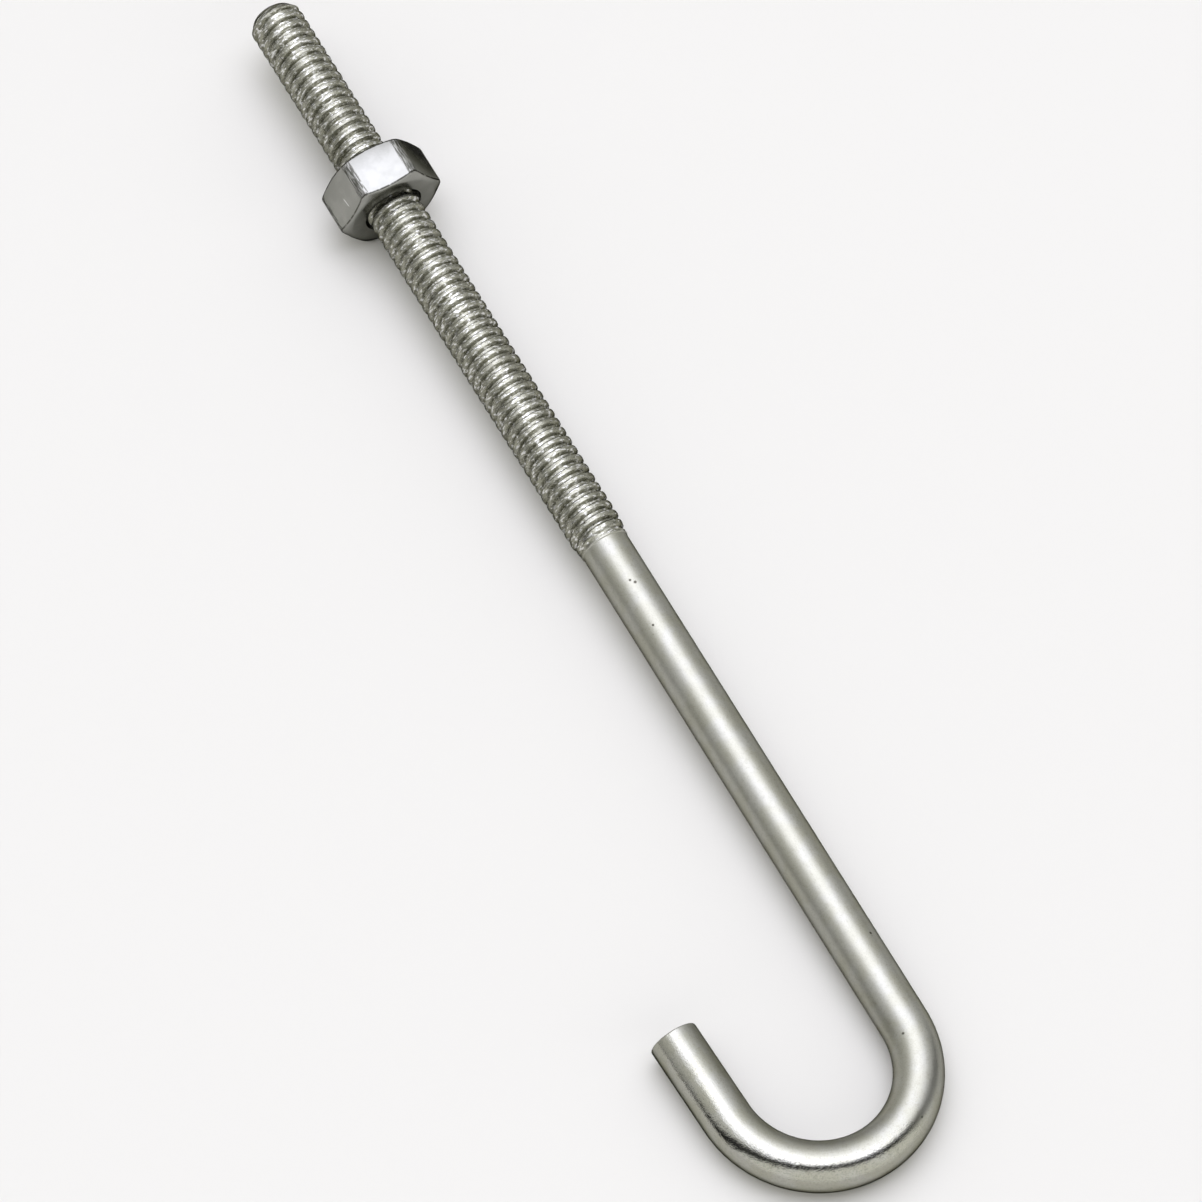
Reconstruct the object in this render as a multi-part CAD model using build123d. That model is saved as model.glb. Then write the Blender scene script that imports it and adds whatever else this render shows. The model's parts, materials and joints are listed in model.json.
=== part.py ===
from build123d import *
import math
import os

# A 1/4-20 J-bolt, six inches long, with its finished hex nut.  Millimetres.
# The bolt is drawn with its rod along +X, thread end at x = 0 and hook turning
# towards -Y, then laid down as it comes to rest on its nut and its hook.

# One length of wire, bent at the far end
OVERALL_LENGTH = 152.4        # thread end to the outside of the bend
WIRE_DIAMETER = 5.45          # plain shank, hook and leg
BEND_INSIDE_RADIUS = 8.15
BEND_ANGLE = 177.5
LEG_LENGTH = 10.4             # straight stretch past the bend
LEG_TIP_BREAK = 0.15          # sheared edge, knocked back by the plating barrel

# Thread rolled on the wire, raised above the shank; drawn as its plain crest cylinder
THREAD_LENGTH = 75.9          # run-out included
THREAD_DIAMETER = 6.2         # over the crests
THREAD_PITCH = 1.27
POINT_DIAMETER = 4.7          # flat face of the thread end, inside the thread's root
POINT_ANGLE = 38.0            # cone of the point, from the rod's own line
RUN_OUT_TURNS = 1.6           # turns that fade out before the shank

# Hex nut
NUT_ACROSS_FLATS = 11.11
NUT_HEIGHT = 5.56
NUT_POSITION = 22.9           # thread end to the nut's outer face
NUT_TURN = 5.5                # top flat leans this far towards the hook's side
NUT_FACE_DIAMETER = 10.36     # circle left flat by the corner chamfer
NUT_CHAMFER_ANGLE = 22.0
NUT_RUNNING_CLEARANCE = 0.08  # bore to thread crest, radial
NUT_MOUTH_DIAMETER = 7.3
NUT_MOUTH_ANGLE = 45.0        # countersink, from the bore's axis

WIRE_RADIUS = WIRE_DIAMETER / 2
BEND_RADIUS = BEND_INSIDE_RADIUS + WIRE_RADIUS
BEND_START = OVERALL_LENGTH - WIRE_RADIUS - BEND_RADIUS
CORNER_RADIUS = NUT_ACROSS_FLATS / 2 / math.cos(math.radians(30))


def make_thread():
    """Threaded length of the rod: coned point, crest cylinder and run-out to the shank."""
    crest = THREAD_DIAMETER / 2
    point = POINT_DIAMETER / 2
    point_length = (crest - point) / math.tan(math.radians(POINT_ANGLE))
    half_section = Polyline(
        (0, 0),
        (0, point),
        (point_length, crest),
        (THREAD_LENGTH - RUN_OUT_TURNS * THREAD_PITCH, crest),
        (THREAD_LENGTH, WIRE_RADIUS),
        (THREAD_LENGTH, 0),
        close=True,
    )
    return revolve(make_face(half_section), Axis.X)


def make_shank_and_hook():
    """Plain shank, bend and leg, swept in one go from a round section."""
    shank = Line((THREAD_LENGTH, 0), (BEND_START, 0))
    bend = CenterArc((BEND_START, -BEND_RADIUS), BEND_RADIUS, 90, -BEND_ANGLE)
    leg = PolarLine(bend @ 1, LEG_LENGTH, direction=bend % 1)
    section = Plane(shank @ 0, z_dir=(1, 0, 0)) * Circle(WIRE_RADIUS)
    wire = sweep(section, path=shank + bend + leg)
    tip_edge = wire.edges().filter_by(GeomType.CIRCLE).sort_by_distance(leg @ 1)[0]
    return chamfer(tip_edge, LEG_TIP_BREAK)


def make_bolt():
    return make_thread() + make_shank_and_hook()


def corner_cone():
    """Double cone that takes the nut's corners down to its face circle."""
    drop = (CORNER_RADIUS - NUT_FACE_DIAMETER / 2) * math.tan(math.radians(NUT_CHAMFER_ANGLE))
    half_section = Polyline(
        (0, 0),
        (0, NUT_FACE_DIAMETER / 2),
        (drop, CORNER_RADIUS),
        (NUT_HEIGHT - drop, CORNER_RADIUS),
        (NUT_HEIGHT, NUT_FACE_DIAMETER / 2),
        (NUT_HEIGHT, 0),
        close=True,
    )
    return revolve(make_face(half_section), Axis.X)


def nut_bore():
    """Bore with a countersunk mouth at each face."""
    bore = THREAD_DIAMETER / 2 + NUT_RUNNING_CLEARANCE
    mouth = NUT_MOUTH_DIAMETER / 2
    sink = (mouth - bore) / math.tan(math.radians(NUT_MOUTH_ANGLE))
    half_section = Polyline(
        (0, 0),
        (0, mouth),
        (sink, bore),
        (NUT_HEIGHT - sink, bore),
        (NUT_HEIGHT, mouth),
        (NUT_HEIGHT, 0),
        close=True,
    )
    return revolve(make_face(half_section), Axis.X)


def make_nut():
    """Hex nut on the thread, turned as it was left."""
    hexagon = RegularPolygon(NUT_ACROSS_FLATS / 2, 6, major_radius=False)
    across = Plane(origin=(0, 0, 0), x_dir=(0, 1, 0), z_dir=(1, 0, 0))
    prism = extrude(across * hexagon, NUT_HEIGHT)
    nut = (prism & corner_cone()) - nut_bore()
    return Pos(NUT_POSITION, 0, 0) * Rot(NUT_TURN, 0, 0) * nut


def resting_dip():
    """Angle that the rod dips towards the hook when nut and bend share one floor."""
    lowest_corner = CORNER_RADIUS * math.cos(math.radians(30 - NUT_TURN))
    to_bend = OVERALL_LENGTH - WIRE_RADIUS - NUT_POSITION - NUT_HEIGHT
    reach = math.hypot(to_bend, lowest_corner)
    return math.degrees(math.atan2(lowest_corner, to_bend) - math.asin(WIRE_RADIUS / reach))


def lay_down(pieces):
    """Dip the rod and put the middle of the whole thing's footprint at the origin."""
    dipped = [Rot(0, resting_dip(), 0) * piece for piece in pieces]
    box = Compound(dipped).bounding_box()
    to_origin = Pos(-box.center().X, -box.center().Y, -box.min.Z)
    return [to_origin * piece for piece in dipped]


os.makedirs("parts", exist_ok=True)
j_bolt, hex_nut = lay_down([make_bolt(), make_nut()])
export_step(j_bolt, "parts/j_bolt.step")
export_step(hex_nut, "parts/hex_nut.step")
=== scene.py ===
import json
import math

import bmesh
import bpy
from mathutils import Matrix, Vector


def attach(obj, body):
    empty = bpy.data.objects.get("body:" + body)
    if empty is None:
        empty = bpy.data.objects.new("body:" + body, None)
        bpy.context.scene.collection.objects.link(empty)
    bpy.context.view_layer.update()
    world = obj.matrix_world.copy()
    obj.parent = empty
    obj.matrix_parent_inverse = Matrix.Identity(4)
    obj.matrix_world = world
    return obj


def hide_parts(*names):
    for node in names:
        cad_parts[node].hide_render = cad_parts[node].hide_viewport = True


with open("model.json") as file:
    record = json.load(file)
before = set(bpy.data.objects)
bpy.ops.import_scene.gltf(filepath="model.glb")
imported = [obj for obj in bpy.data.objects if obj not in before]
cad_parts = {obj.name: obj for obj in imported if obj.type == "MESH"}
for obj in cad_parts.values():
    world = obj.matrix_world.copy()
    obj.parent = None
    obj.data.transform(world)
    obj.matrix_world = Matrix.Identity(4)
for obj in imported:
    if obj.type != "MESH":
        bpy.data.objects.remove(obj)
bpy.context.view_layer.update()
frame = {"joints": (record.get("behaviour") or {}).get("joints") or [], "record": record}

# ---- The J-bolt -------------------------------------------------------------------
# One length of zinc-plated steel wire.  Half of it is rolled between flat dies into a
# coarse right-hand quarter-inch thread, and the far end is bent cold round a pin into
# an open hook and sheared off.  It is drawn along X from its thread end, then laid down.
MOUNTS = {mount["name"]: mount for mount in frame["record"]["mounts"]}
ROD_START = Vector(MOUNTS["threaded_end"]["pos_m"])       # middle of the thread end
ROD_LINE = Vector(frame["joints"][0]["axis"])             # thread end to hook
ROD_DIP = math.asin(-ROD_LINE.z)
LAID_DOWN = Matrix.Translation(ROD_START) @ Matrix.Rotation(ROD_DIP, 4, "Y")

WIRE_RADIUS = MOUNTS["hook_leg"]["dims"]["r_mm"] / 1000
BEND_INSIDE_RADIUS = MOUNTS["hook_seat"]["dims"]["r_mm"] / 1000
BEND_RADIUS = BEND_INSIDE_RADIUS + WIRE_RADIUS
BEND_START = (Vector(MOUNTS["hook_seat"]["pos_m"]) - ROD_START).dot(ROD_LINE) - BEND_INSIDE_RADIUS
BEND_ANGLE = math.radians(177.5)
BEND_STEPS = 56
LEG_LENGTH = 0.0104
LEG_TIP_BREAK = 0.00015                                   # sheared edge, rounded by the barrel

THREAD_LENGTH = 0.0759                                    # run-out included
THREAD_PITCH = 0.00127
THREAD_TURN = math.radians(-33.75)                        # where round the rod its start lies
CREST_RADIUS = MOUNTS["threaded_end"]["dims"]["r_mm"] / 1000
ROOT_RADIUS = 0.00257
ROUND_STEPS = 64                                          # faces once round the rod
# half a ridge, root to crest: (share of the pitch, share of the thread's depth)
RIDGE_SIDE = ((0.12, 0.04), (0.04, 0.12), (0.13, 0.66), (0.04, 0.12), (0.17, 0.06))
SPARE = 2 * THREAD_PITCH                                  # length cut away past each end
POINT_RADIUS = 0.00218
POINT_CONE = 0.00118
POINT_EDGE_BREAK = 0.00032
POINT_ROOT_GAP = 0.00015                                  # core above the root behind the cone
CORE_SINK = 0.0001                                        # core below the root along the thread
LAST_RIDGE = 0.0020                                       # length over which the crests drop
LAST_GROOVE = 0.0034                                      # length over which the groove fills
RING_START = THREAD_LENGTH - 0.00036                      # thin ring where the dies let go
RING_RISE = 0.00009
RING_STEPS = ((0.00006, RING_RISE), (0.0002, 0), (0.0001, -RING_RISE))   # along, out


def choose(kind, test):
    """Selects the vertices, edges or faces of the mesh in edit mode that pass a test, and only them."""
    bpy.ops.mesh.select_mode(type=kind)
    bpy.ops.mesh.select_all(action="DESELECT")
    mesh = bmesh.from_edit_mesh(bpy.context.object.data)
    for part in {"VERT": mesh.verts, "EDGE": mesh.edges, "FACE": mesh.faces}[kind]:
        if test(part):
            part.select_set(True)
    mesh.select_flush_mode()
    bmesh.update_edit_mesh(bpy.context.object.data)


def draw_line(name, start, moves):
    """A line of edges in the XY plane, extruded move by move from its start: (along X, out along Y)."""
    bpy.ops.object.select_all(action="DESELECT")
    bpy.ops.mesh.primitive_plane_add(size=0.001)
    line = bpy.context.object
    line.name = name
    bpy.ops.object.mode_set(mode="EDIT")
    bpy.ops.mesh.select_mode(type="VERT")
    bpy.ops.mesh.select_all(action="SELECT")
    bpy.ops.mesh.merge(type="CENTER")
    bpy.ops.transform.translate(value=(start[0], start[1], 0))
    for along, out in moves:
        bpy.ops.mesh.extrude_vertices_move(TRANSFORM_OT_translate={"value": (along, out, 0)})
    bpy.ops.object.mode_set(mode="OBJECT")
    return line


def draw_points(name, points):
    """The same line, given by its points instead of its moves."""
    moves = [(b[0] - a[0], b[1] - a[1]) for a, b in zip(points, points[1:])]
    return draw_line(name, points[0], moves)


def turn_round(line, turns=1, lead=0.0):
    """Turns a line about the X axis into a skin, with a lead for a thread, and joins up its seams."""
    bpy.context.view_layer.objects.active = line
    screw = line.modifiers.new("turn", "SCREW")
    screw.axis = "X"
    screw.angle = 2 * math.pi
    screw.screw_offset = lead
    screw.iterations = turns
    screw.steps = ROUND_STEPS
    screw.render_steps = ROUND_STEPS
    bpy.ops.object.modifier_apply(modifier=screw.name)
    bpy.ops.object.mode_set(mode="EDIT")
    bpy.ops.mesh.select_all(action="SELECT")
    bpy.ops.mesh.remove_doubles(threshold=1e-6)
    bpy.ops.mesh.normals_make_consistent(inside=False)
    bpy.ops.object.mode_set(mode="OBJECT")
    return line


def press_to(piece, form, wrap_mode):
    """Moves the part of a skin that lies past a form onto the form, and takes the form away."""
    bpy.context.view_layer.objects.active = piece
    wrap = piece.modifiers.new("press", "SHRINKWRAP")
    wrap.target = form
    wrap.wrap_mode = wrap_mode
    bpy.ops.object.modifier_apply(modifier=wrap.name)
    bpy.data.objects.remove(form)


def ridge_profile(depth):
    """Moves that draw one pitch of thread of a given depth, from root to root."""
    rise = [(share * THREAD_PITCH, height * depth) for share, height in RIDGE_SIDE]
    fall = [(along, -out) for along, out in reversed(rise)]
    return rise + fall


def round_off(at, radius):
    """Makes the selected ring at X = at round about the rod's line, with a given radius."""
    bpy.ops.transform.tosphere(value=1, center_override=(at, 0, 0))
    ring = [v.co for v in bmesh.from_edit_mesh(bpy.context.object.data).verts if v.select]
    wider = radius / math.hypot(ring[0].y, ring[0].z)
    bpy.ops.transform.resize(value=(1, wider, wider), center_override=(at, 0, 0))


def cut_square(at, keep_below):
    """Cuts a thread in edit mode square across at X = at, keeps one side and selects the cut ring."""
    bpy.ops.mesh.select_all(action="SELECT")
    bpy.ops.mesh.bisect(plane_co=(at, 0, 0), plane_no=(1, 0, 0), threshold=1e-7, use_fill=False,
                        clear_outer=keep_below, clear_inner=not keep_below)
    choose("VERT", lambda v: v.is_boundary and abs(v.co.x - at) < 1e-7)
    bpy.ops.mesh.remove_doubles(threshold=5e-5)
    choose("EDGE", lambda e: e.is_boundary and abs(e.verts[0].co.x - at) < 1e-7
           and abs(e.verts[1].co.x - at) < 1e-7)


def lay_down(piece):
    """Puts a piece that was drawn along X where the rod lies, with its place in its mesh."""
    piece.data.transform(LAID_DOWN)
    piece.data.update()


thread_turns = round((THREAD_LENGTH + 2 * SPARE) / THREAD_PITCH) + 1
bolt = draw_line("j_bolt_wire", (-SPARE, ROOT_RADIUS), ridge_profile(CREST_RADIUS - ROOT_RADIUS))
turn_round(bolt, thread_turns, THREAD_PITCH)
bolt.data.transform(Matrix.Rotation(THREAD_TURN, 4, "X"))

# the wire was pointed before it was rolled, and the dies lift away over the last turns
cone_rise = (CREST_RADIUS - POINT_RADIUS) / POINT_CONE
clear_of_crests = CREST_RADIUS + 0.0002
blank = draw_points("pointed_blank", (
    (-2 * SPARE, 0),
    (-2 * SPARE, POINT_RADIUS),
    (0, POINT_RADIUS),
    ((clear_of_crests - POINT_RADIUS) / cone_rise, clear_of_crests),
    (THREAD_LENGTH - LAST_RIDGE, clear_of_crests),
    (THREAD_LENGTH - LAST_RIDGE, CREST_RADIUS),
    (RING_START - RING_RISE, WIRE_RADIUS + RING_RISE),
    (RING_START, WIRE_RADIUS),
    (THREAD_LENGTH + 4 * SPARE, WIRE_RADIUS),
    (THREAD_LENGTH + 4 * SPARE, 0),
))
press_to(bolt, turn_round(blank), "INSIDE")
core = draw_points("unrolled_core", (
    (-2 * SPARE, 0),
    (-2 * SPARE, POINT_RADIUS),
    (POINT_CONE / 3, POINT_RADIUS),
    (POINT_CONE, ROOT_RADIUS + POINT_ROOT_GAP),
    (2.2 * POINT_CONE, ROOT_RADIUS - CORE_SINK),
    (THREAD_LENGTH - LAST_GROOVE, ROOT_RADIUS - CORE_SINK),
    (RING_START - RING_RISE, WIRE_RADIUS),
    (THREAD_LENGTH + 4 * SPARE, WIRE_RADIUS),
    (THREAD_LENGTH + 4 * SPARE, 0),
))
press_to(bolt, turn_round(core), "OUTSIDE")

# point cut square, then ring, shank, bend and leg drawn out of the thread's far end
bpy.ops.object.mode_set(mode="EDIT")
cut_square(0, keep_below=False)
round_off(0, POINT_RADIUS)
bpy.ops.mesh.edge_face_add()
bpy.ops.mesh.bevel(offset=POINT_EDGE_BREAK, segments=2, affect="EDGES")
cut_square(RING_START, keep_below=True)
round_off(RING_START, WIRE_RADIUS)
ring_at, ring_radius = RING_START + RING_STEPS[0][0], WIRE_RADIUS + RING_STEPS[0][1]
bpy.ops.mesh.primitive_circle_add(vertices=ROUND_STEPS, radius=ring_radius, location=(ring_at, 0, 0),
                                  rotation=(0, math.radians(90), 0))
choose("EDGE", lambda e: len(e.link_faces) < 2)
bpy.ops.mesh.bridge_edge_loops()
choose("EDGE", lambda e: len(e.link_faces) < 2)
for along, out in RING_STEPS[1:]:
    bpy.ops.mesh.extrude_region_move(TRANSFORM_OT_translate={"value": (along, 0, 0)})
    ring_at += along
    wider = (ring_radius + out) / ring_radius
    bpy.ops.transform.resize(value=(1, wider, wider), center_override=(ring_at, 0, 0))
    ring_radius += out
bpy.ops.mesh.extrude_region_move(TRANSFORM_OT_translate={"value": (BEND_START - ring_at, 0, 0)})
bpy.ops.mesh.spin(steps=BEND_STEPS, angle=BEND_ANGLE, center=(BEND_START, -BEND_RADIUS, 0),
                  axis=(0, 0, 1))
leg_run = (math.cos(BEND_ANGLE) * LEG_LENGTH, -math.sin(BEND_ANGLE) * LEG_LENGTH, 0)
bpy.ops.mesh.extrude_region_move(TRANSFORM_OT_translate={"value": leg_run})
bpy.ops.mesh.edge_face_add()
bpy.ops.mesh.bevel(offset=LEG_TIP_BREAK, segments=3, affect="EDGES")
bpy.ops.mesh.select_all(action="SELECT")
bpy.ops.mesh.normals_make_consistent(inside=False)
bpy.ops.object.mode_set(mode="OBJECT")
# each point's place on the wire, in millimetres: along it, out from its middle, and up
on_wire = bolt.data.attributes.new("on_wire", "FLOAT_VECTOR", "POINT")
for vertex, mark in zip(bolt.data.vertices, on_wire.data):
    x, y, z = vertex.co
    if x > BEND_START or y < -BEND_RADIUS:
        turned = min(math.atan2(x - BEND_START, y + BEND_RADIUS) % (2 * math.pi), BEND_ANGLE)
        middle = Vector((BEND_START, -BEND_RADIUS))
        outwards = Vector((math.sin(turned), math.cos(turned)))
        onwards = Vector((math.cos(turned), -math.sin(turned)))
        from_middle = Vector((x, y)) - middle
        x = BEND_START + turned * BEND_RADIUS + from_middle.dot(onwards)
        y = from_middle.dot(outwards) - BEND_RADIUS
    mark.vector = Vector((x, y, z)) * 1000

lay_down(bolt)
bpy.ops.object.select_all(action="DESELECT")
bolt.select_set(True)
bpy.ops.object.shade_smooth_by_angle(angle=math.radians(40))


class Shade:
    """One value of a finish, held by a node's socket.  Sums on it add Math nodes to the finish."""

    def __init__(self, socket):
        self.socket = socket

    def node(self, kind, settings=None, sockets=None, out=0):
        """Adds a node to the same finish: its settings first, then the values or shades it takes."""
        new = self.socket.id_data.nodes.new("ShaderNode" + kind)
        for name, value in (settings or {}).items():
            setattr(new, name, value)
        usable = [socket for socket in new.inputs if socket.enabled]
        for name, value in (sockets or {}).items():
            socket = usable[name] if isinstance(name, int) else next(s for s in usable if s.name == name)
            if isinstance(value, Shade):
                self.socket.id_data.links.new(value.socket, socket)
            else:
                socket.default_value = value
        given = [socket for socket in new.outputs if socket.enabled]
        return Shade(given[out] if isinstance(out, int) else next(s for s in given if s.name == out))

    def sum(self, operation, *others):
        return self.node("Math", {"operation": operation}, dict(enumerate((self, *others))))

    def __add__(self, other):
        return self.sum("ADD", other)

    def __sub__(self, other):
        return self.sum("SUBTRACT", other)

    def __mul__(self, other):
        return self.sum("MULTIPLY", other)

    def __truediv__(self, other):
        return self.sum("DIVIDE", other)

    def __rsub__(self, other):
        return self.node("Math", {"operation": "SUBTRACT"}, {0: other, 1: self})

    __radd__ = __add__
    __rmul__ = __mul__

    def between(self, low, high):
        """0 below the low value and 1 above the high one, with a soft step between them."""
        return self.node("MapRange", {"interpolation_type": "SMOOTHSTEP"},
                         {"Value": self, "From Min": low, "From Max": high})

    def blend(self, first, second):
        """Mixes two colours by this value."""
        return self.node("Mix", {"data_type": "RGBA"}, {"Factor": self, "A": first, "B": second})

    def noise(self, size, detail=3.0, stretch=(1, 1, 1), offset=(0, 0, 0)):
        """Noise at these places whose lumps are about this large, drawn out by the stretch."""
        scaled = self.node("Mapping", {}, {"Vector": self, "Location": offset,
                                           "Scale": tuple(1 / (size * share) for share in stretch)})
        return self.node("TexNoise", {}, {"Vector": scaled, "Scale": 1.0, "Detail": detail})


def start_finish(piece, name):
    """Gives a piece a new material, and hands back its shader and a first shade to build from."""
    finish = bpy.data.materials.new(name)
    finish.use_nodes = True
    shader = finish.node_tree.nodes["Principled BSDF"]
    shader.inputs["Metallic"].default_value = 1.0
    piece.data.materials.clear()
    piece.data.materials.append(finish)
    return shader, Shade(shader.outputs[0])


def connect(shader, **shades):
    """Leads shades into the shader's sockets: Base_Color=..., Roughness=..., Normal=..."""
    for name, shade in shades.items():
        shader.id_data.links.new(shade.socket, shader.inputs[name.replace("_", " ")])


ZINC = (0.37, 0.367, 0.307)                               # dull zinc, a little olive
ZINC_BRIGHT = (0.41, 0.41, 0.375)                         # rubbed against its neighbours; on the nut's corners also painted highlight
ZINC_DARK = (0.17, 0.166, 0.132)                          # thin or stained plate, and painted shade in the thread's grooves
ZINC_THREAD = (0.32, 0.318, 0.254)                        # rolled surface
ZINC_FLECK = (0.78, 0.78, 0.76)                           # painted glints over the thread, and the bare metal of the nut's scratch
ZINC_PIT = (0.08, 0.075, 0.06)
ZINC_EDGE = (0.05, 0.05, 0.05, 1)                         # seen along the surface
SATIN = 0.34                                              # roughness of the tumbled plate
THREAD_FADE = 0.4                                         # mm, thread's finish into the shank's
GROOVE = (0.3, 0.55)                                      # mm down from the crests
PIN_POLISH = (8, 18)                                      # mm past the bend's start, where it comes in
PIN_POLISH_SIDE = (-0.5, 0.8)                             # mm towards the outside of the bend
PITS_PER_MM = 0.3
PIT_SIZE = (0.03, 0.07)                                   # in the pattern of the scattered pits
LARGE_PITS = ((81.64, -0.45, 2.69), (87.41, -0.91, 2.57), (73.4, -1.38, 2.66))   # mm: along, out, up
LARGE_PIT_SIZE = (0.10, 0.18)                             # mm, from its dark middle to its rim

shader, start = start_finish(bolt, "bolt_zinc_plate")
shader.inputs["Specular Tint"].default_value = ZINC_EDGE
place = start.node("Attribute", {"attribute_name": "on_wire"}, out="Vector")
radius = start.node("VectorMath", {"operation": "LENGTH"}, {
    0: place.node("VectorMath", {"operation": "MULTIPLY"}, {0: place, 1: (0, 1, 1)})}, out="Value")
along = place.node("SeparateXYZ", {}, {0: place}, out="X")
thread = 1 - along.between(THREAD_LENGTH * 1000 - THREAD_FADE, THREAD_LENGTH * 1000)
depth = (CREST_RADIUS * 1000 - radius) * thread           # how far down in the thread, mm
out = place.node("SeparateXYZ", {}, {0: place}, out="Y")
root = depth.between(*GROOVE)
bend = along.between(*(BEND_START * 1000 + past for past in PIN_POLISH))
outside = out.between(*PIN_POLISH_SIDE) * bend            # stretched smooth over the bending pin

blotch = place.noise(2.6, detail=2.0)
mottle = place.noise(0.45)
grain = place.noise(0.13, detail=2.0)
drawn = place.noise(0.2, detail=2.0, stretch=(30, 1, 1))
rolled = place.noise(0.12, detail=4.0, stretch=(1, 5, 5)) # torn lines round the thread
combed = place.noise(0.10, detail=2.0, stretch=(1, 9, 9), offset=(4, 4, 4))
fleck = place.noise(0.2, detail=1.0, stretch=(1, 3, 3))
peel = place.noise(0.9, detail=2.0)

torn = rolled.between(0.5, 0.64) * thread
# where glints are painted on the thread
bright_fleck = fleck.between(0.56, 0.66) * thread
scattered = place.node("TexVoronoi", {}, {"Vector": place, "Scale": PITS_PER_MM}, out="Distance")
pit = 1 - scattered.between(*PIT_SIZE)
for spot in LARGE_PITS:
    away = place.node("VectorMath", {"operation": "DISTANCE"}, {0: place, 1: spot}, out="Value")
    pit = pit.sum("MAXIMUM", 1 - away.between(*LARGE_PIT_SIZE))

colour = (blotch.between(0.4, 0.64) * 0.6).blend(ZINC + (1,), ZINC_BRIGHT + (1,))
colour = thread.blend(colour, ZINC_THREAD + (1,))
colour = (combed.between(0.46, 0.6) * thread * 0.5).blend(colour, ZINC_BRIGHT + (1,))
colour = (mottle.between(0.5, 0.72) * 0.15).blend(colour, ZINC_DARK + (1,))
colour = (grain.between(0.48, 0.72) * (0.3 + thread * 0.2)).blend(colour, ZINC_DARK + (1,))
colour = (torn * 0.7).blend(colour, ZINC_DARK + (1,))
# painted shade down in the thread's grooves
colour = (root * 0.15).blend(colour, ZINC_DARK + (1,))
# painted glints scattered over the thread
colour = (bright_fleck * 0.85).blend(colour, ZINC_FLECK + (1,))
colour = pit.blend(colour, ZINC_PIT + (1,))
rough = (SATIN + blotch * 0.05 + torn * 0.1 - thread * 0.11 - root * 0.06
         - outside * 0.24 - bright_fleck * 0.08)
height = (mottle * (0.003 + thread * 0.01) + drawn * 0.002 * (1 - thread)    # mm
          + grain * (0.011 + thread * 0.009) + rolled * thread * 0.021 + combed * thread * 0.01
          + peel * outside * 0.03 + grain * outside * 0.006)
bump = height.node("Bump", {}, {"Height": height, "Distance": 0.001, "Strength": 1.0})
connect(shader, Base_Color=colour, Roughness=rough, Normal=bump)

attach(bolt, "bolt")
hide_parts("j_bolt")

# ---- The hex nut ------------------------------------------------------------------
# A finished hexagon nut of zinc-plated steel: both faces chamfered off the corners, both
# mouths countersunk, then tapped with the thread that it runs on.  It sits on the bolt
# as it was left, with one flat nearly level on top.
NUT_HEIGHT = 0.00556
NUT_INNER_FACE = (Vector(MOUNTS["nut_seat"]["pos_m"]) - ROD_START).dot(ROD_LINE)
NUT_OUTER_FACE = NUT_INNER_FACE - NUT_HEIGHT
NUT_ACROSS_FLATS = 0.01111
NUT_CORNER_RADIUS = NUT_ACROSS_FLATS / 2 / math.cos(math.radians(30))
NUT_FACE_RADIUS = 0.00518
NUT_CHAMFER = math.radians(22)
NUT_TURN = math.radians(5.5)
NUT_EDGE_BREAK = 0.00016
NUT_CORNER_BREAK = 0.0005
NUT_MOUTH_RADIUS = 0.00365
NUT_MOUTH_DEPTH = 0.0011
NUT_THREAD_CLEARANCE = 0.00006
NUT_MINOR_RADIUS = 0.0026

bpy.ops.object.select_all(action="DESELECT")
nut_middle = (NUT_OUTER_FACE + NUT_INNER_FACE) / 2
bpy.ops.mesh.primitive_cylinder_add(vertices=6, radius=NUT_CORNER_RADIUS, depth=NUT_HEIGHT)
nut = bpy.context.object
nut.name = "hex_nut_zinc"
nut.data.transform(Matrix.Translation((nut_middle, 0, 0)) @ Matrix.Rotation(NUT_TURN, 4, "X")
                   @ Matrix.Rotation(math.radians(90), 4, "Y"))
bpy.ops.object.mode_set(mode="EDIT")
choose("EDGE", lambda e: abs(e.verts[0].co.x - e.verts[1].co.x) > NUT_HEIGHT / 2)
bpy.ops.mesh.bevel(offset=NUT_CORNER_BREAK, segments=4, affect="EDGES")
bpy.ops.object.mode_set(mode="OBJECT")

past = NUT_CORNER_RADIUS + 0.001
past_drop = (past - NUT_FACE_RADIUS) * math.tan(NUT_CHAMFER)
cone = turn_round(draw_points("corner_cone", (
    (NUT_OUTER_FACE, 0),
    (NUT_OUTER_FACE, NUT_FACE_RADIUS),
    (NUT_OUTER_FACE + past_drop, past),
    (NUT_INNER_FACE - past_drop, past),
    (NUT_INNER_FACE, NUT_FACE_RADIUS),
    (NUT_INNER_FACE, 0),
)))


def cut_with(piece, tool, operation):
    """Cuts a piece with a closed tool, or keeps what both hold, and takes the tool away."""
    bpy.context.view_layer.objects.active = piece
    cut = piece.modifiers.new("cut", "BOOLEAN")
    cut.operation = operation
    cut.object = tool
    cut.solver = "EXACT"
    bpy.ops.object.modifier_apply(modifier=cut.name)
    bpy.data.objects.remove(tool)


cut_with(nut, cone, "INTERSECT")
bpy.context.view_layer.objects.active = nut
bpy.ops.object.mode_set(mode="EDIT")
choose("EDGE", lambda e: len(e.link_faces) == 2 and e.calc_face_angle() > math.radians(18))
bpy.ops.mesh.bevel(offset=NUT_EDGE_BREAK, segments=2, affect="EDGES")
bpy.ops.object.mode_set(mode="OBJECT")

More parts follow.
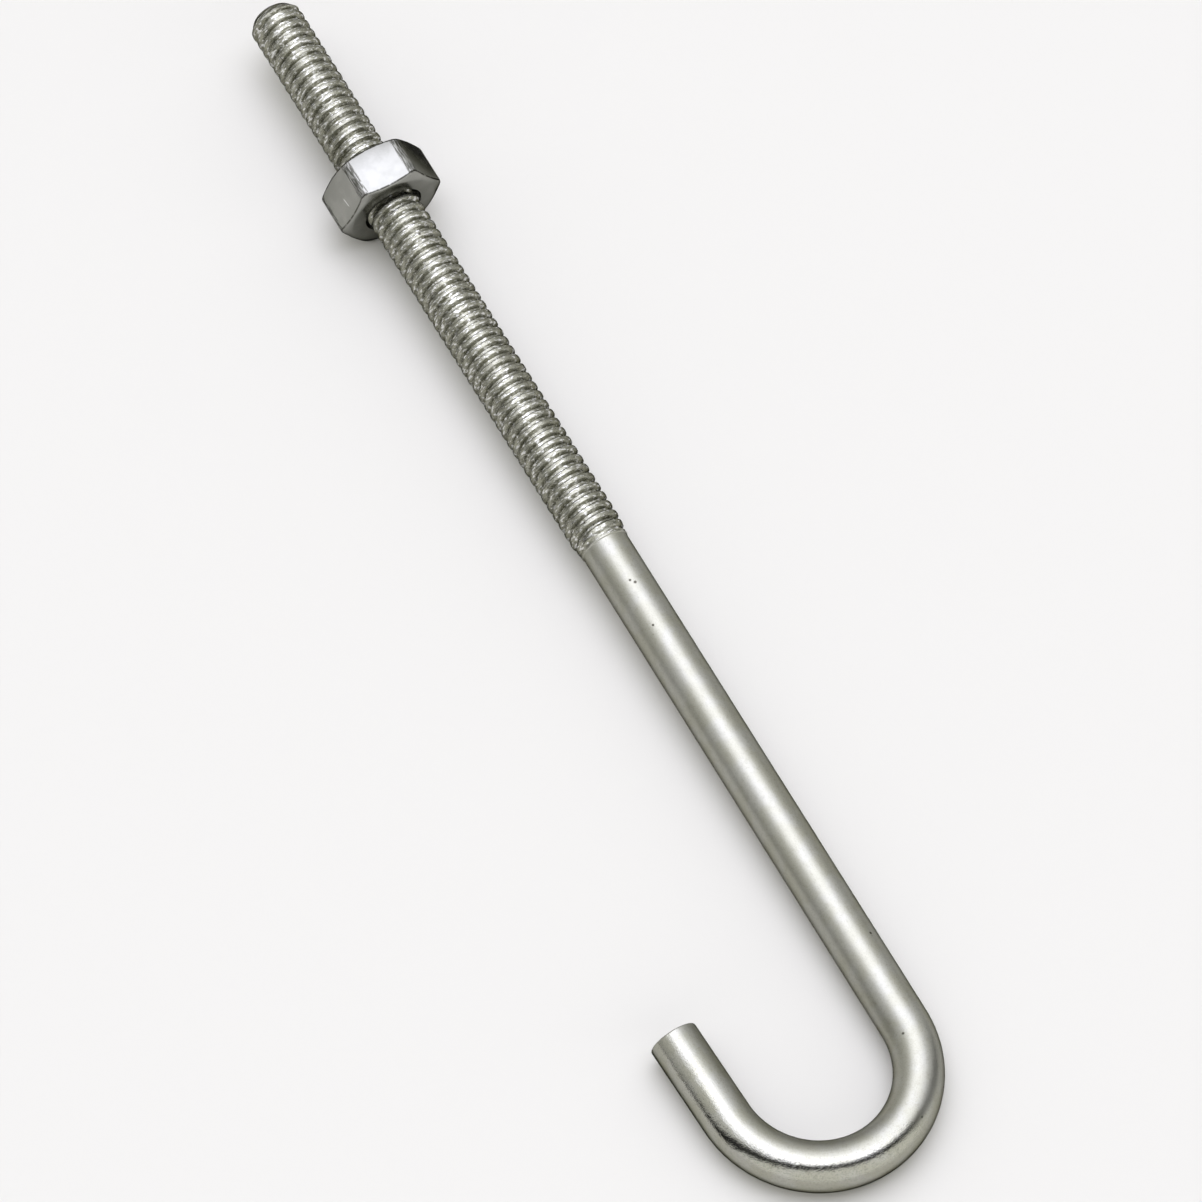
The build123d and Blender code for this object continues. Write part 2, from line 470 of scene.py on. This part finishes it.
# the tap: the bolt's own helix, a little larger, with its crests cut back and a cone at each mouth
tap_start = round(NUT_OUTER_FACE / THREAD_PITCH - 3) * THREAD_PITCH
tap = draw_line("tap", (tap_start, ROOT_RADIUS + NUT_THREAD_CLEARANCE),
                ridge_profile(CREST_RADIUS - ROOT_RADIUS))
turn_round(tap, 11, THREAD_PITCH)
tap.data.transform(Matrix.Rotation(THREAD_TURN, 4, "X"))
press_to(tap, turn_round(draw_points("tap_core", (
    (NUT_OUTER_FACE - SPARE, 0),
    (NUT_OUTER_FACE - SPARE, NUT_MOUTH_RADIUS),
    (NUT_OUTER_FACE, NUT_MOUTH_RADIUS),
    (NUT_OUTER_FACE + NUT_MOUTH_DEPTH, NUT_MINOR_RADIUS),
    (NUT_INNER_FACE - NUT_MOUTH_DEPTH, NUT_MINOR_RADIUS),
    (NUT_INNER_FACE, NUT_MOUTH_RADIUS),
    (NUT_INNER_FACE + SPARE, NUT_MOUTH_RADIUS),
    (NUT_INNER_FACE + SPARE, 0),
))), "OUTSIDE")
bpy.context.view_layer.objects.active = tap
bpy.ops.object.mode_set(mode="EDIT")
for end, below in ((NUT_OUTER_FACE - THREAD_PITCH, False), (NUT_INNER_FACE + THREAD_PITCH, True)):
    cut_square(end, keep_below=below)
    bpy.ops.mesh.edge_face_add()
bpy.ops.mesh.select_all(action="SELECT")
bpy.ops.mesh.normals_make_consistent(inside=False)
bpy.ops.object.mode_set(mode="OBJECT")
cut_with(nut, tap, "DIFFERENCE")
bpy.ops.object.mode_set(mode="EDIT")
bpy.ops.mesh.select_all(action="SELECT")
bpy.ops.mesh.remove_doubles(threshold=2e-6)
bpy.ops.mesh.normals_make_consistent(inside=False)
bpy.ops.object.mode_set(mode="OBJECT")
# each point's place in the nut as drawn, in millimetres: along the rod, towards +Y and up
on_nut = nut.data.attributes.new("on_nut", "FLOAT_VECTOR", "POINT")
for vertex, mark in zip(nut.data.vertices, on_nut.data):
    mark.vector = (vertex.co - Vector((nut_middle, 0, 0))) * 1000
lay_down(nut)
bpy.ops.object.select_all(action="DESELECT")
nut.select_set(True)
bpy.ops.object.shade_smooth_by_angle(angle=math.radians(35))

NUT_ZINC = (0.29, 0.291, 0.265)
NUT_BLOTCH = (0.32, 0.32, 0.293)
NUT_SCORE_AND_SHADE = (0.05, 0.048, 0.038)                          # dark scored lines along the corners, and painted shade along the chamfers' edges
NUT_SATIN = 0.2                                           # roughness of its smoother plate
CORNER_STRIP = 6.12                                       # mm from the axis, where the corners begin
EDGE_LINE = 0.2                                           # mm, painted shade line below each chamfer
EDGE_LINE_FROM = (5.4, 5.5)                               # mm from the axis, on the flats only
SCRATCH_X = (0.2, 1.5)                                    # mm on the flat that faces -Y and up
SCRATCH_UP = 2.4
SCRATCH_LEAN = 0.1
SCRATCH_HALF = (0.03, 0.07)                               # mm, from its bottom to its rim
SCRATCH_TAPER = 0.2                                       # mm at each of its ends
SCRATCHED_SIDE = (-4.6, -4.5)                             # mm towards +Y, keeps it on that flat

shader, start = start_finish(nut, "nut_zinc_plate")
shader.inputs["Specular Tint"].default_value = ZINC_EDGE
place = start.node("Attribute", {"attribute_name": "on_nut"}, out="Vector")
along = place.node("SeparateXYZ", {}, {0: place}, out="X")
side = place.node("SeparateXYZ", {}, {0: place}, out="Y")
up = place.node("SeparateXYZ", {}, {0: place}, out="Z")
from_axis = place.node("VectorMath", {"operation": "LENGTH"}, {
    0: place.node("VectorMath", {"operation": "MULTIPLY"}, {0: place, 1: (0, 1, 1)})}, out="Value")
blotch = place.noise(1.6, detail=2.0)
fine = place.noise(0.14, detail=2.0)
lines = place.noise(0.12, stretch=(9, 1, 1))
nicks = place.noise(0.35)
corner = from_axis.between(CORNER_STRIP - 0.05, CORNER_STRIP + 0.05)
below_chamfer = (NUT_HEIGHT * 500 - along.sum("ABSOLUTE")
                 - (from_axis - NUT_FACE_RADIUS * 1000) * math.tan(NUT_CHAMFER))
# a painted shade line on the flats just below each chamfer, broken here and there
edge = below_chamfer.between(0.02, 0.06) * (1 - below_chamfer.between(EDGE_LINE - 0.04, EDGE_LINE))
edge = edge * from_axis.between(*EDGE_LINE_FROM) * nicks.between(0.3, 0.5)
score = lines.between(0.42, 0.56) * corner
lean = up - SCRATCH_UP - along * SCRATCH_LEAN
half, rim = SCRATCH_HALF
scratch = (along.between(SCRATCH_X[0], SCRATCH_X[0] + SCRATCH_TAPER)
           * (1 - along.between(SCRATCH_X[1] - SCRATCH_TAPER, SCRATCH_X[1]))
           * lean.between(-rim, -half) * (1 - lean.between(half, rim))
           * (1 - side.between(*SCRATCHED_SIDE)))

colour = blotch.between(0.4, 0.65).blend(NUT_ZINC + (1,), NUT_BLOTCH + (1,))
# the corners lighter: rubbed plate, and painted highlight along them
colour = (corner * 0.5).blend(colour, ZINC_BRIGHT + (1,))
colour = (score * 0.8).blend(colour, NUT_SCORE_AND_SHADE + (1,))
# painted shade along the chamfers' edges
colour = (edge * 0.85).blend(colour, NUT_SCORE_AND_SHADE + (1,))
colour = (scratch * 0.8).blend(colour, ZINC_FLECK + (1,))
rough = NUT_SATIN + blotch * 0.06 + corner * 0.08
height = blotch * 0.01 + fine * 0.003 - score * 0.02      # mm
bump = height.node("Bump", {}, {"Height": height, "Distance": 0.001, "Strength": 1.0})
connect(shader, Base_Color=colour, Roughness=rough, Normal=bump)

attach(nut, "nut")
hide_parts("hex_nut")

# ---- Floor, lights and camera -----------------------------------------------------
# A plain white table under one large soft lamp, in a pale room that is a little darker
# where the maker stands.
FLOOR_WHITE = (0.685, 0.675, 0.62)
FLOOR_RADIUS = 1.5
bpy.ops.mesh.primitive_circle_add(vertices=64, radius=FLOOR_RADIUS, fill_type="NGON", location=(0, 0, 0))
floor = bpy.context.object
floor.name = "table_top"
shader, start = start_finish(floor, "white_table")
shader.inputs["Metallic"].default_value = 0.0
shader.inputs["Base Color"].default_value = FLOOR_WHITE + (1,)
shader.inputs["Roughness"].default_value = 0.9

LAMP_HEIGHT = 1.2
LAMP_RADIANCE = 0.2
LAMP_X = (-1.15, 0.52)
LAMP_Y = (-0.50, 0.66)
lamp_middle = ((LAMP_X[0] + LAMP_X[1]) / 2, (LAMP_Y[0] + LAMP_Y[1]) / 2, LAMP_HEIGHT)
bpy.ops.object.light_add(type="AREA", location=lamp_middle)
lamp = bpy.context.object
lamp.name = "soft_box"
lamp.data.shape = "RECTANGLE"
lamp.data.size = LAMP_X[1] - LAMP_X[0]
lamp.data.size_y = LAMP_Y[1] - LAMP_Y[0]
lamp.data.energy = LAMP_RADIANCE * math.pi * lamp.data.size * lamp.data.size_y

# the room gets paler upwards, with a white screen on the maker's side and a dark gap
# between that screen and the lamp; their edges are cosines from GAP_LINE's direction
ROOM_LOW = 0.45
ROOM_HIGH = 1.2
SCREEN = 1.2
SCREEN_EDGE = (-0.28, -0.12)
GAP_LINE = (-0.852, 0.077, 0.518)                         # the gap lies square across this
GAP = 0.03                                                # share of the light left in the gap
GAP_NEAR = (-0.18, -0.08)
GAP_FAR = (0.18, 0.28)
SOFT_BOX = 1.95                                           # light added by the feathered box overhead
BOX_X = (-0.96, 0.62)                                     # its sides, as slopes from straight up
BOX_Y = (-0.46, 0.52)
BOX_FEATHER = 0.42
BOX_TINT = (0.99, 1.0, 1.24)                              # a little cool, as daylight tubes are
LOWEST_SLOPE = 0.05                                       # keeps the slopes finite at the skyline
room = bpy.data.worlds.new("pale_room")
bpy.context.scene.world = room
room.use_nodes = True
background = room.node_tree.nodes["Background"]
start = Shade(background.outputs[0])
towards = start.node("TexCoord", {}, out="Generated")
height = towards.node("SeparateXYZ", {}, {0: towards}, out="Z")
past_gap = towards.node("VectorMath", {"operation": "DOT_PRODUCT"},
                        {0: towards, 1: GAP_LINE}, out="Value")
grey = height.node("MapRange", {}, {"Value": height, "To Min": ROOM_LOW, "To Max": ROOM_HIGH})
screen = 1 - past_gap.between(*SCREEN_EDGE)
grey = grey + (SCREEN - grey) * screen
upwards = height.sum("MAXIMUM", LOWEST_SLOPE)
soft_box = height.between(0.0, 0.1)
for number, (low, high) in enumerate((BOX_X, BOX_Y)):
    slope = towards.node("SeparateXYZ", {}, {0: towards}, out="XY"[number]) / upwards
    soft_box = soft_box * slope.between(low - BOX_FEATHER, low + BOX_FEATHER)
    soft_box = soft_box * (1 - slope.between(high - BOX_FEATHER, high + BOX_FEATHER))
gap = past_gap.between(*GAP_NEAR) * (1 - past_gap.between(*GAP_FAR))
open_share = 1 - gap * (1 - GAP)
red, green, blue = [(grey + soft_box * (SOFT_BOX * share)) * open_share for share in BOX_TINT]
pale = grey.node("CombineColor", {}, {0: red, 1: green, 2: blue})
room.node_tree.links.new(pale.socket, background.inputs["Color"])

CAMERA_PLACE = Vector((0.253045, -0.174723, 0.581152))
CAMERA_AIM = Vector((0.004919, 0.005782, 0.0040))
CAMERA_ROLL = math.radians(7.02)
LENS = 181.89
lens = bpy.data.cameras.new("camera")
lens.lens = LENS
lens.sensor_width = 36
camera = bpy.data.objects.new("camera", lens)
bpy.context.collection.objects.link(camera)
facing = (CAMERA_AIM - CAMERA_PLACE).to_track_quat("-Z", "Y").to_matrix().to_4x4()
camera.matrix_world = Matrix.Translation(CAMERA_PLACE) @ facing @ Matrix.Rotation(CAMERA_ROLL, 4, "Z")
lens.clip_start = 0.01
bpy.context.scene.camera = camera
bpy.context.scene.view_settings.view_transform = "Standard"
